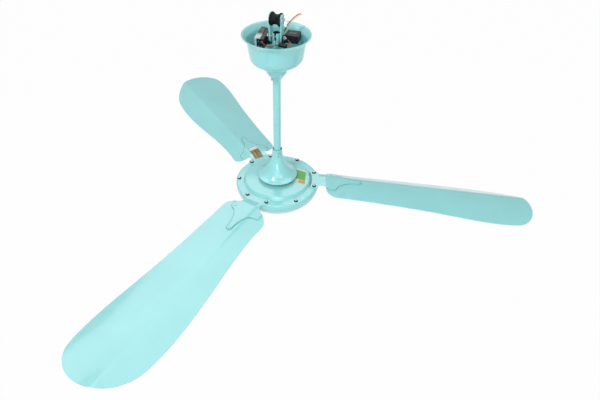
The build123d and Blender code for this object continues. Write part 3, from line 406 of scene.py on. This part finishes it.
def surface_below(nodes):
    """Search tree of some CAD nodes' meshes."""
    points, faces = [], []
    for name in nodes:
        data = frame["nodes"][name].data
        first = len(points)
        points += [vertex.co.copy() for vertex in data.vertices]
        faces += [[first + k for k in face.vertices] for face in data.polygons]
    return BVHTree.FromPolygons(points, faces)


def decal(name, corners, nodes, lift, material):
    """Thin sticker on the rotor with four corners in plan, laid on the CAD surface below it."""
    tree = surface_below(nodes)
    first, second, third, fourth = [Vector(corner) for corner in corners]
    shares = [step / decal_steps for step in range(decal_steps + 1)]

    def maker(shape):
        layer = shape.loops.layers.uv.new("plan")
        grid = []
        for v in shares:
            line = []
            for u in shares:
                spot = first.lerp(second, u).lerp(fourth.lerp(third, u), v)
                hit = tree.ray_cast(Vector((spot.x, spot.y, decal_ray_z)), down)[0]
                line.append((shape.verts.new((spot.x, spot.y, hit.z + lift)), (u, v)))
            grid.append(line)
        for near, far in zip(grid, grid[1:]):
            for k in range(decal_steps):
                ring = [near[k], near[k + 1], far[k + 1], far[k]]
                face = shape.faces.new([vert for vert, place in ring])
                for loop, (vert, place) in zip(face.loops, ring):
                    loop[layer].uv = place

    piece = mesh_piece(name, maker, "rotor")
    smooth(piece)
    piece.data.materials.append(material)


def outline_links(shape, tree):
    """Neighbours of each vertex along the upper outline, where it lies close above a surface."""
    links = {}
    for edge in shape.edges:
        if len(edge.link_faces) != 2 or edge.calc_face_angle() < seam_fold:
            continue
        if max(face.normal.z for face in edge.link_faces) < seam_level:
            continue
        start, end = edge.verts
        if all(tree.ray_cast(vert.co, down, seam_reach)[0] for vert in (start, end)):
            links.setdefault(start, []).append(end)
            links.setdefault(end, []).append(start)
    return links


def chain(start, links):
    """Points along a chain of linked vertices, from one of its ends."""
    path = [start.co.copy()]
    last, here = None, start
    while True:
        ahead = [vert for vert in links[here] if vert is not last]
        if len(ahead) != 1:
            return path
        last, here = here, ahead[0]
        if (here.co - path[-1]).length > seam_radius:
            path.append(here.co.copy())


def seam_path(iron, blade):
    """Longest line of points along the outline of an iron, where it lies on its blade."""
    shape = bmesh.new()
    shape.from_mesh(frame["nodes"][iron].data)
    bmesh.ops.remove_doubles(shape, verts=shape.verts, dist=seam_merge)
    shape.normal_update()
    links = outline_links(shape, surface_below([blade]))
    ends = [vert for vert, neighbours in links.items() if len(neighbours) == 1]
    longest = max((chain(end, links) for end in ends), key=len)
    shape.free()
    return longest


def iron_seam(number, material):
    """Dark hairline of painted shade along the edge of an iron."""
    path = seam_path(f"blade_iron_{number}", f"blade_{number}")
    seam = mesh_piece(
        f"iron_seam_{number}", lambda shape: tube(shape, path, seam_radius, seam_sides), "rotor",
    )
    seam.data.materials.append(material)
    smooth(seam)


def rgb(red, green, blue):
    """Linear colour from screen values up to 255."""
    parts = []
    for value in (red, green, blue):
        share = value / 255
        parts.append(share / 12.92 if share <= 0.04045 else ((share + 0.055) / 1.055) ** 2.4)
    return (*parts, 1.0)


def cleared_tree(owner):
    """Empty node tree of a material or a world."""
    owner.use_nodes = True
    owner.node_tree.nodes.clear()
    return owner.node_tree


class Finish:
    """Node material built round one principled shader."""

    def __init__(self, name, metallic=0.0, specular=0.5, coat=0.0, coat_roughness=0.1):
        self.material = bpy.data.materials.new(name)
        self.tree = cleared_tree(self.material)
        self.shader = self.add("ShaderNodeBsdfPrincipled", {
            "Metallic": metallic,
            "Specular IOR Level": specular,
            "Coat Weight": coat,
            "Coat Roughness": coat_roughness,
        })
        self.add("ShaderNodeOutputMaterial", {"Surface": self.shader.outputs["BSDF"]})
        self.coordinates = self.add("ShaderNodeTexCoord").outputs
        self.base = None
        self.relief = None

    def feed(self, socket, value):
        """Gives an input a plain value, or a link when the value is a socket."""
        if isinstance(value, bpy.types.NodeSocket):
            self.tree.links.new(value, socket)
        else:
            socket.default_value = value

    def add(self, kind, inputs=None):
        """New node of a kind, with its named inputs fed."""
        node = self.tree.nodes.new(kind)
        for label, value in (inputs or {}).items():
            self.feed(node.inputs[label], value)
        return node

    def axes(self, vector):
        """X, Y and Z of a vector."""
        return self.add("ShaderNodeSeparateXYZ", {"Vector": vector}).outputs

    def axes_from(self, place, turn):
        """X, Y and Z measured from a place, in a frame turned by degrees about the upright axis."""
        mapping = self.add("ShaderNodeMapping", {"Vector": self.coordinates["Object"]})
        mapping.vector_type = "TEXTURE"
        mapping.inputs["Location"].default_value = place
        mapping.inputs["Rotation"].default_value = (0, 0, radians(turn))
        return self.axes(mapping.outputs["Vector"])

    def noise(self, scale, detail=4.0, stretch=(1, 1, 1)):
        """Noise value over the object, stretched along its axes."""
        mapping = self.add("ShaderNodeMapping", {"Vector": self.coordinates["Object"], "Scale": stretch})
        texture = self.add("ShaderNodeTexNoise", {
            "Vector": mapping.outputs["Vector"],
            "Scale": scale,
            "Detail": detail,
        })
        return texture.outputs["Fac"]

    def bands(self, scale, axis, turn=0.0, distortion=0.0):
        """Even bands along an axis, in a frame turned by degrees about the upright axis."""
        mapping = self.add("ShaderNodeMapping", {
            "Vector": self.coordinates["Object"],
            "Rotation": (0, 0, radians(turn)),
        })
        texture = self.add("ShaderNodeTexWave", {
            "Vector": mapping.outputs["Vector"],
            "Scale": scale,
            "Distortion": distortion,
        })
        texture.wave_type = "BANDS"
        texture.bands_direction = axis
        return texture.outputs["Fac"]

    def ramp(self, value, stops, constant=False):
        """Colour of a value, from (place, colour) stops."""
        node = self.add("ShaderNodeValToRGB", {"Fac": value})
        node.color_ramp.interpolation = "CONSTANT" if constant else "LINEAR"
        elements = node.color_ramp.elements
        while len(elements) < len(stops):
            elements.new(0.5)
        for element, (place, colour) in zip(elements, stops):
            element.position = place
            element.color = colour
        return node.outputs["Color"]

    def tones(self, value, dark, light):
        """Colour between two tones over the middle range of a noise."""
        return self.ramp(value, [(noise_low, dark), (noise_high, light)])

    def mix(self, share, low, high):
        """Blend of two colours or sockets by a value."""
        node = self.add("ShaderNodeMix")
        node.data_type = "RGBA"
        sockets = [socket for socket in node.inputs if socket.enabled]
        for socket, value in zip(sockets, (share, low, high)):
            self.feed(socket, value)
        return [socket for socket in node.outputs if socket.enabled][0]

    def number(self, operation, first, second=0.0):
        """Result of an operation on values."""
        node = self.add("ShaderNodeMath")
        node.operation = operation
        for socket, value in zip(node.inputs, (first, second)):
            self.feed(socket, value)
        return node.outputs[0]

    def gap(self, value, middle):
        """Distance of a value from a middle."""
        return self.number("ABSOLUTE", self.number("SUBTRACT", value, middle))

    def span(self, value, low, high, new_low, new_high):
        """Value moved from one range to another."""
        node = self.add("ShaderNodeMapRange", {
            "Value": value,
            "From Min": low,
            "From Max": high,
            "To Min": new_low,
            "To Max": new_high,
        })
        return node.outputs["Result"]

    def colour(self, socket):
        """Base colour from a socket."""
        self.base = socket
        self.feed(self.shader.inputs["Base Color"], socket)

    def rough(self, value, low, high):
        """Roughness that follows a noise."""
        self.feed(self.shader.inputs["Roughness"], self.span(value, noise_low, noise_high, low, high))

    def bump(self, value, distance, strength):
        """Surface relief from a value, added to any relief already there."""
        node = self.add("ShaderNodeBump", {"Height": value, "Distance": distance, "Strength": strength})
        if self.relief:
            self.feed(node.inputs["Normal"], self.relief)
        self.relief = node.outputs["Normal"]
        self.feed(self.shader.inputs["Normal"], self.relief)


def enamel(name, shade_within=0.0):
    """Glossy teal enamel with a faint flow and specks, and painted shade in near black within a radius of
    the upright axis.
    """
    finish = Finish(name, coat=0.5, coat_roughness=0.06)
    tone = finish.tones(finish.noise(9.0, 3.0), rgb(147, 219, 221), rgb(153, 225, 227))
    specks = finish.span(finish.noise(900.0, 1.0), 0.70, 0.78, 0.0, 0.35)
    paint = finish.mix(specks, tone, rgb(122, 190, 190))
    # Painted shade: near black within the given radius of the upright axis
    if shade_within:
        parts = finish.axes(finish.coordinates["Object"])
        squares = [finish.number("MULTIPLY", parts[axis], parts[axis]) for axis in "XY"]
        within = finish.number("LESS_THAN", finish.number("ADD", *squares), shade_within ** 2)
        paint = finish.mix(within, paint, rgb(18, 30, 32))
    finish.colour(paint)
    finish.rough(finish.noise(40.0, 2.0), 0.17, 0.27)
    finish.bump(finish.noise(120.0, 2.0), 0.00002, 0.3)
    return finish.material


def grained(name, dark, light, scale, rough, relief=0.0, relief_scale=600.0, **shader):
    """Mottled finish between two tones, with grain and uneven gloss."""
    finish = Finish(name, **shader)
    finish.colour(finish.tones(finish.noise(scale), dark, light))
    finish.rough(finish.noise(scale * 3.0, 5.0), *rough)
    if relief:
        finish.bump(finish.noise(relief_scale, 3.0), relief, 0.6)
    return finish


def plain(*values, **options):
    """Material of a grained finish."""
    return grained(*values, **options).material


def capacitor_finish():
    """Black moulded case with a grey printed panel left without text."""
    finish = grained(
        "capacitor_case", rgb(22, 25, 29), rgb(34, 38, 43), 220.0, (0.35, 0.5),
        relief=0.00008, specular=0.25,
    )
    parts = finish.axes_from(capacitor_top, capacitor_turn)
    inside = finish.number("GREATER_THAN", parts["Z"], -panel_depth)
    for axis in "XY":
        within = finish.number("LESS_THAN", finish.gap(parts[axis], panel_middle[axis]), panel_half[axis])
        inside = finish.number("MULTIPLY", inside, within)
    wear = finish.span(finish.noise(700.0, 3.0), 0.35, 0.6, 0.25, 0.8)
    share = finish.number("MULTIPLY", inside, wear)
    finish.colour(finish.mix(share, finish.base, rgb(104, 108, 116)))
    return finish.material


def cover_finish():
    """Milky grey cover, whiter at its front and streaked towards the back."""
    finish = Finish("cover_plastic", specular=0.25)
    parts = finish.axes_from(cover_corner, cover_turn)
    far = finish.span(parts["Y"], cover_streak_start, cover_streak_full, 0.0, 1.0)
    inside = finish.number("MULTIPLY", far, finish.number("GREATER_THAN", parts["X"], cover_streak_side))
    streaks = finish.ramp(
        finish.noise(160.0, 3.0, stretch=(1, 3, 1)),
        [(0.45, rgb(24, 26, 30)), (0.75, rgb(120, 124, 128))],
    )
    milky = finish.tones(finish.noise(120.0), rgb(188, 198, 198), rgb(214, 222, 222))
    finish.colour(finish.mix(inside, milky, streaks))
    finish.rough(finish.noise(300.0), 0.3, 0.5)
    finish.bump(finish.noise(500.0), 0.00008, 0.5)
    return finish.material


def threaded_zinc():
    """Zinc plate with a thread relief along the hanger bolts."""
    finish = grained(
        "zinc_thread", rgb(150, 152, 154), rgb(196, 198, 200), 260.0, (0.2, 0.42),
        relief=0.00005, metallic=1.0,
    )
    finish.bump(finish.bands(400.0, "X", turn=-hanger_turn), 0.0002, 0.5)
    return finish.material


def screw_finish():
    """Zinc plate with a painted highlight on top of each screw head and painted shade round its side."""
    finish = Finish("screw_zinc", metallic=0.9)
    clouds = finish.noise(600.0)
    painted_highlight = finish.tones(clouds, rgb(206, 208, 210), rgb(232, 234, 236))
    painted_shade = finish.tones(clouds, rgb(42, 64, 66), rgb(72, 96, 98))
    upward = finish.axes(finish.coordinates["Normal"])["Z"]
    # Painted highlight where the head faces up, painted shade where its side faces away
    finish.colour(finish.mix(finish.span(upward, 0.80, 0.90, 0.0, 1.0), painted_shade, painted_highlight))
    finish.rough(finish.noise(300.0), 0.3, 0.45)
    return finish.material


def laminated(name, dark, light):
    """Stacked sheets seen as fine level lines."""
    finish = grained(name, dark, light, 150.0, (0.4, 0.6), metallic=0.8)
    finish.bump(finish.bands(620.0, "Z"), 0.0003, 0.7)
    return finish.material


def wound_copper():
    """Lacquered copper winding."""
    finish = grained(
        "winding_copper", rgb(132, 58, 28), rgb(186, 98, 52), 190.0, (0.25, 0.45), metallic=0.7,
    )
    finish.bump(finish.bands(520.0, "Z", distortion=1.5), 0.0004, 0.8)
    return finish.material


def banded_sticker(name, stops, border, low_stops=None):
    """Sticker of plain colour bands in a border, without any lettering, with a split lowest band."""
    finish = Finish(name)
    parts = finish.axes(finish.coordinates["UV"])
    field = finish.ramp(parts["Y"], stops, constant=True)
    if low_stops:
        low_band = finish.number("LESS_THAN", parts["Y"], sticker_low_band)
        field = finish.mix(low_band, field, finish.ramp(parts["X"], low_stops, constant=True))
    sides = [
        finish.number("GREATER_THAN", finish.gap(parts[axis], 0.5), sticker_border_gap) for axis in "XY"
    ]
    framed = finish.mix(finish.number("MAXIMUM", *sides), field, border)
    grain = finish.span(finish.noise(500.0, 3.0), noise_low, noise_high, 0.0, 0.25)
    finish.colour(finish.mix(grain, framed, rgb(90, 90, 70)))
    finish.rough(finish.noise(200.0), 0.3, 0.45)
    finish.bump(finish.noise(90.0, 2.0), 0.0003, 0.4)
    return finish.material


def dress(names, material):
    """Gives CAD nodes a finish."""
    for name in names:
        data = frame["nodes"][name].data
        if not data.materials:
            data.materials.append(material)
        for place in range(len(data.materials)):
            data.materials[place] = material


def floor():
    """Plain pale floor far below, which shows as a white background."""
    middle = Matrix.Translation((0, 0, floor_z))
    piece = mesh_object("floor", lambda shape: bmesh.ops.create_grid(
        shape, x_segments=1, y_segments=1, size=floor_half, matrix=middle,
    ))
    material = bpy.data.materials.new("floor")
    tree = cleared_tree(material)
    output = tree.nodes.new("ShaderNodeOutputMaterial")
    paint = tree.nodes.new("ShaderNodeBsdfDiffuse")
    paint.inputs["Color"].default_value = rgb(242, 242, 242)
    glow = tree.nodes.new("ShaderNodeEmission")
    glow.inputs["Color"].default_value = (1, 1, 1, 1)
    glow.inputs["Strength"].default_value = 1.0
    rays = tree.nodes.new("ShaderNodeLightPath")
    seen = tree.nodes.new("ShaderNodeMath")
    seen.operation = "MAXIMUM"
    tree.links.new(rays.outputs["Is Camera Ray"], seen.inputs[0])
    tree.links.new(rays.outputs["Is Glossy Ray"], seen.inputs[1])
    share = tree.nodes.new("ShaderNodeMath")
    share.operation = "MULTIPLY"
    share.inputs[1].default_value = floor_glow_share
    tree.links.new(seen.outputs[0], share.inputs[0])
    mixed = tree.nodes.new("ShaderNodeMixShader")
    tree.links.new(share.outputs[0], mixed.inputs["Fac"])
    tree.links.new(paint.outputs["BSDF"], mixed.inputs[1])
    tree.links.new(glow.outputs["Emission"], mixed.inputs[2])
    tree.links.new(mixed.outputs["Shader"], output.inputs["Surface"])
    piece.data.materials.append(material)


def world():
    """Soft white surroundings, plain white where the camera looks past the floor."""
    made = bpy.data.worlds.new("studio")
    bpy.context.scene.world = made
    tree = cleared_tree(made)
    output = tree.nodes.new("ShaderNodeOutputWorld")
    rays = tree.nodes.new("ShaderNodeLightPath")
    mixed = tree.nodes.new("ShaderNodeMixShader")
    tree.links.new(rays.outputs["Is Camera Ray"], mixed.inputs["Fac"])
    for place, strength in ((1, world_strength), (2, 1.0)):
        white = tree.nodes.new("ShaderNodeBackground")
        white.inputs["Color"].default_value = (1, 1, 1, 1)
        white.inputs["Strength"].default_value = strength
        tree.links.new(white.outputs["Background"], mixed.inputs[place])
    tree.links.new(mixed.outputs["Shader"], output.inputs["Surface"])


def lamp(name, place, aim, size, power, gloss_only=False):
    """Square area lamp at a place, turned towards a point."""
    data = bpy.data.lights.new(name, "AREA")
    data.size = size
    data.energy = power
    holder = scene_object(name, data)
    holder.visible_diffuse = not gloss_only
    way = Vector(aim) - Vector(place)
    holder.matrix_world = Matrix.Translation(place) @ way.to_track_quat("-Z", "Y").to_matrix().to_4x4()


camera()

# Supply lead
brown_core = lead_core("lead_core_brown", brown_route, "supply_lead_brown")
cream_core = lead_core("lead_core_cream", cream_route, "supply_lead_cream")
brown_strands = mesh_piece(
    "lead_strands_brown", bare_strands(brown_route, brown_strand_start), "hanger",
)
cream_strands = mesh_piece(
    "lead_strands_cream", bare_strands(cream_route, cream_strand_start), "hanger",
)
crimp = mesh_piece("lead_crimp", crimped_sleeve, "hanger")
for piece in (brown_strands, crimp, cream_strands):
    smooth(piece)

# Cover screws with cross recesses
head_screws = mesh_piece("cover_screw_heads", pan_screws, "rotor")
recesses = mesh_piece("recess_cutters", cross_cutters, "rotor")
cut(head_screws, recesses)
smooth(head_screws, screw_smooth_angle)
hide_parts("cover_screws")

# Finishes
teal = enamel("teal_enamel")
rubber = plain(
    "moulded_rubber", rgb(9, 10, 12), rgb(19, 21, 24), 140.0, (0.45, 0.62),
    relief=0.00025, relief_scale=900.0, specular=0.15,
)
zinc = plain(
    "zinc_plate", rgb(158, 160, 162), rgb(204, 206, 208), 240.0, (0.16, 0.36),
    relief=0.00005, relief_scale=1500.0, metallic=1.0,
)
dark_steel = plain(
    "dark_steel", rgb(54, 58, 62), rgb(84, 88, 92), 260.0, (0.3, 0.5),
    relief=0.00006, relief_scale=1200.0, metallic=0.9,
)
black_plastic = plain(
    "black_plastic", rgb(24, 26, 30), rgb(36, 38, 43), 300.0, (0.32, 0.5),
    relief=0.00008, relief_scale=1600.0, specular=0.3,
)
thread_zinc = threaded_zinc()
brown_sheath = plain("brown_sheath", rgb(146, 68, 40), rgb(178, 92, 58), 300.0, (0.25, 0.4))
cream_sheath = plain("cream_sheath", rgb(222, 204, 138), rgb(240, 226, 170), 300.0, (0.25, 0.4))
red_sheath = plain("red_sheath", rgb(150, 26, 36), rgb(184, 44, 54), 300.0, (0.15, 0.3), coat=0.3)
white_sheath = plain("white_sheath", rgb(216, 212, 202), rgb(236, 232, 224), 300.0, (0.25, 0.4))
orange_sheath = plain("orange_sheath", rgb(170, 92, 62), rgb(200, 118, 84), 300.0, (0.25, 0.4))
green_crimp = plain("green_crimp", rgb(20, 44, 38), rgb(34, 62, 54), 400.0, (0.3, 0.5))
copper = plain("bare_copper", rgb(112, 72, 44), rgb(156, 104, 68), 900.0, (0.25, 0.45), metallic=1.0)
aluminium = plain(
    "cast_aluminium", rgb(150, 152, 155), rgb(186, 188, 190), 90.0, (0.35, 0.55),
    relief=0.0003, relief_scale=500.0, metallic=1.0,
)
bearing_steel = plain(
    "bearing_steel", rgb(186, 188, 192), rgb(214, 216, 220), 200.0, (0.1, 0.22), metallic=1.0,
)
shaft_steel = plain(
    "shaft_steel", rgb(126, 128, 132), rgb(164, 166, 170), 200.0, (0.22, 0.4),
    relief=0.00004, relief_scale=1500.0, metallic=1.0,
)
tag_paper = plain("tag_paper", rgb(206, 218, 230), rgb(222, 230, 240), 200.0, (0.4, 0.6))
# Painted shade: dark teal for the hairlines along the upper outline of the irons
worn_edge = plain("worn_edge", rgb(78, 132, 134), rgb(96, 152, 154), 300.0, (0.5, 0.7))
disc_print = banded_sticker(
    "disc_sticker",
    [
        (0.0, rgb(104, 168, 82)),
        (0.10, rgb(230, 240, 228)),
        (0.26, rgb(92, 178, 78)),
        (0.88, rgb(216, 236, 226)),
    ],
    rgb(196, 232, 176),
    [(0.0, rgb(222, 236, 222)), (0.45, rgb(212, 158, 84)), (0.93, rgb(104, 168, 82))],
)
iron_print = banded_sticker(
    "iron_sticker",
    [
        (0.0, rgb(102, 82, 32)),
        (0.20, rgb(158, 126, 66)),
        (0.40, rgb(106, 76, 24)),
        (0.62, rgb(136, 108, 48)),
        (0.86, rgb(68, 74, 36)),
    ],
    rgb(178, 198, 144),
)

# Finishes of the pieces made here
for piece, material in (
    (brown_core, brown_sheath),
    (cream_core, cream_sheath),
    (brown_strands, copper),
    (crimp, green_crimp),
    (cream_strands, copper),
    (head_screws, screw_finish()),
):
    piece.data.materials.append(material)

# Finishes of the CAD nodes
dress([
    "hanger_strap_left", "hanger_strap_right", "upper_canopy", "lower_canopy", "top_cover", "bottom_cover",
    "blade_1", "blade_2", "blade_3", "blade_iron_1", "blade_iron_3", "blade_rivets_1", "blade_rivets_2",
    "blade_rivets_3",
], teal)
# The rod's inner wall, seen through its slot, gets painted shade
dress(["down_rod"], enamel("rod_enamel", rod_shade_r))
# Iron 2 gets painted shade along its inner end, where it meets the step of the top cover
dress(["blade_iron_2"], enamel("iron_enamel", iron_shade_r))
dress(["hanger_roller", "lead_bush"], rubber)
dress(["roller_nut", "rod_nut", "coupling_nut", "coupling_split_pin", "strap_spacers"], zinc)
dress(["terminal_screws", "upper_canopy_screw", "lower_canopy_screw"], zinc)
dress(["roller_bolt", "rod_bolt", "coupling_bolt"], thread_zinc)
dress(["screw_washers", "coupling_grub_screw", "mounting_plate"], dark_steel)
dress(["terminal_block", "wire_splice"], black_plastic)
dress(["capacitor"], capacitor_finish())
dress(["terminal_cover"], cover_finish())
dress(["wire_red"], red_sheath)
dress(["wire_white", "motor_lead"], white_sheath)
dress(["wire_copper"], orange_sheath)
dress(["rod_coupling"], aluminium)
dress(["motor_shaft"], shaft_steel)
dress([
    "upper_bearing_inner", "upper_bearing_outer", "upper_bearing_balls",
    "lower_bearing_inner", "lower_bearing_outer", "lower_bearing_balls",
], bearing_steel)
dress(["stator_core"], laminated("stator_sheets", rgb(96, 98, 102), rgb(126, 128, 132)))
dress(["rotor_ring"], laminated("rotor_sheets", rgb(84, 86, 90), rgb(112, 114, 118)))
dress(["stator_winding"], wound_copper())

# Stickers, and hairlines of painted shade, on the rotor
iron_3_nodes = ["blade_iron_3", "blade_3", "top_cover"]
decal("disc_sticker", disc_sticker_corners, ["top_cover"], disc_sticker_lift, disc_print)
decal("iron_sticker", iron_sticker_corners, iron_3_nodes, iron_sticker_lift, iron_print)
decal("paper_tag", paper_tag_corners, iron_3_nodes, iron_sticker_lift, tag_paper)
for number in (1, 2, 3):
    iron_seam(number, worn_edge)

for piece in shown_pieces():
    if piece.type == "MESH" and not piece.data.materials:
        raise ValueError(f"{piece.name} has no finish")

# Stage and lamps
floor()
world()
lamp("key", (-2.0, -2.6, 3.8), fan_middle, 0.8, 80)
lamp("fill", (1.8, -2.8, 2.6), fan_middle, 1.0, 10)
lamp("front", (-0.3, -3.6, 0.3), (0, 0, -0.3), 0.8, 28)
lamp("panel_left", (-0.7, 2.6, 2.9), (-0.7, 2.6, 0), 3.6, 90, gloss_only=True)
lamp("panel_middle", (0.1, 0.25, 2.9), (0.1, 0.25, 0), 2.0, 27, gloss_only=True)
lamp("panel_far", (-3.3, 0.8, 2.9), (-3.3, 0.8, 0), 3.0, 60, gloss_only=True)
lamp("panel_right", (2.1, -0.2, 2.9), (2.1, -0.2, 0), 2.2, 34, gloss_only=True)
lamp("panel_front", (0.0, -3.0, 1.5), fan_middle, 2.2, 28, gloss_only=True)
lamp("panel_back", (-3.6, 4.0, 1.7), fan_middle, 3.4, 6, gloss_only=True)
bpy.context.scene.view_settings.view_transform = "Standard"
